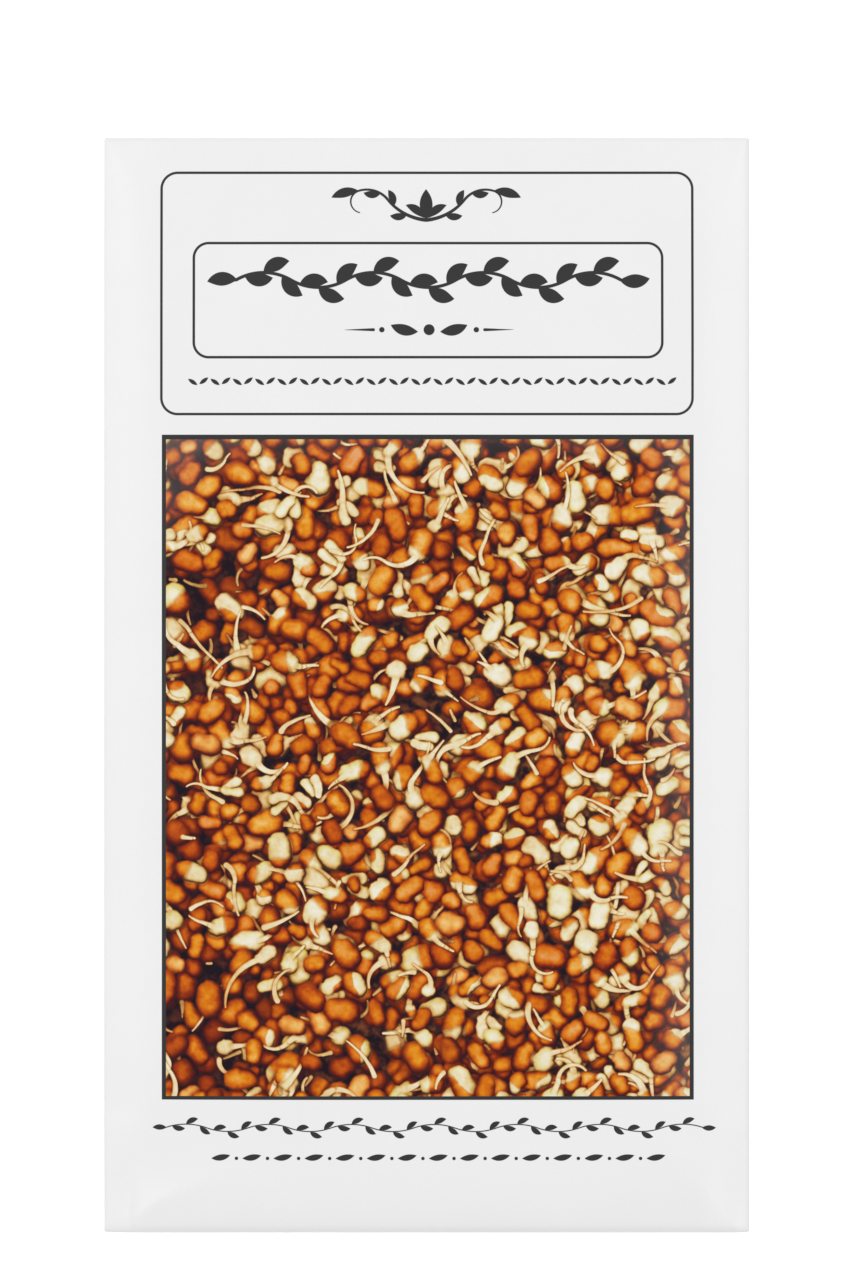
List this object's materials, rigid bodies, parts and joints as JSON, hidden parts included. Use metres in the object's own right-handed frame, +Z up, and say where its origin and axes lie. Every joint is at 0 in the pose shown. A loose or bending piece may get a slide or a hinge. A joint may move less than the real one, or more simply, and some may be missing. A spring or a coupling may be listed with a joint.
{
  "type": "seed packet",
  "caption": "Flat paper seed packet full of loose seeds, with a printed front, a glued lap seam down its back and a folded, glued flap at each end.",
  "frame": {"origin": "under the middle of the packet, on the surface that it lies on", "axes": "the packet lies on its back: +Z is up, out of the printed front, +Y points to the packet's top edge and +X to the right as the front is read"},
  "size_m": [0.1, 0.1696, 0.0043],
  "materials": {
    "coated_paper": "satin",
    "dried_glue": "satin",
    "loose_seed": "matte"
  },
  "bodies": {
    "root": {"paper_sachet": "coated_paper", "back_seam_glue": "dried_glue", "bottom_flap_glue": "dried_glue", "top_flap_glue": "dried_glue", "seed_fill": "loose_seed"}
  },
  "joints": []
}
